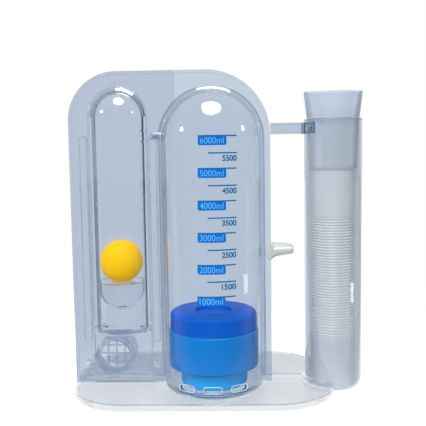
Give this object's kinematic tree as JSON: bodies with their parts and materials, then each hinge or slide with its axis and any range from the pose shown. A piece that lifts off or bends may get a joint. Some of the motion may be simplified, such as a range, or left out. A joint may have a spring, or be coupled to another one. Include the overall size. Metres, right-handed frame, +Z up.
{
  "type": "incentive spirometer",
  "caption": "Clear volumetric incentive spirometer with a domed piston chamber, a flow ball channel, a sliding goal pointer and a breathing hose stored upright in a side tube.",
  "frame": {"origin": "on the main chamber's axis at table level, at the underside of the base", "axes": "+X to the viewer's right along the panel, -Y towards the viewer, +Z up"},
  "size_m": [0.2509, 0.131, 0.2753],
  "materials": {
    "clear_plastic": "clear",
    "base_clear": "clear",
    "piston_blue": "gloss",
    "piston_foot_blue": "gloss",
    "lid_blue": "gloss",
    "ball_yellow": "satin",
    "pointer_white": "satin",
    "hose_milky": "satin",
    "mouthpiece_frosted": "frosted"
  },
  "bodies": {
    "housing": {"base_plate": "base_clear", "front_panel": "clear_plastic", "rear_cover": "clear_plastic", "main_chamber": "clear_plastic", "chamber_floor": "clear_plastic", "ball_cup": "clear_plastic", "ball_seat": "clear_plastic", "inlet_port": "clear_plastic", "port_grille": "clear_plastic", "pin_upper_left": "clear_plastic", "pin_upper_right": "clear_plastic", "pin_middle_left": "clear_plastic", "pin_middle_right": "clear_plastic", "stud_lower_left": "clear_plastic", "stud_lower_right": "clear_plastic", "strap_clip": "clear_plastic", "holder_tube": "clear_plastic", "snap_button": "clear_plastic", "holder_strap": "clear_plastic"},
    "piston": {"piston_skirt": "piston_blue", "piston_lid": "lid_blue", "piston_foot": "piston_foot_blue"},
    "ball": {"flow_ball": "ball_yellow"},
    "pointer": {"goal_pointer": "pointer_white"},
    "hose": {"breathing_hose": "hose_milky"},
    "mouth": {"mouthpiece": "mouthpiece_frosted"}
  },
  "joints": [
    {"name": "piston_slide", "type": "slide", "parent": "housing", "child": "piston", "axis": [0, 0, 1], "range_m": [0, 0.156]},
    {"name": "ball_slide", "type": "slide", "parent": "housing", "child": "ball", "axis": [0, 0, 1], "range_m": [0, 0.124]},
    {"name": "pointer_slide", "type": "slide", "parent": "housing", "child": "pointer", "axis": [0, 0, 1], "range_m": [-0.104, 0.09]},
    {"name": "hose_lift", "type": "slide", "parent": "housing", "child": "hose", "axis": [0, 0, 1], "range_m": [0, 0.24]},
    {"name": "mouthpiece_pull", "type": "slide", "parent": "hose", "child": "mouth", "axis": [0, 0, 1], "range_m": [0, 0.03]}
  ]
}
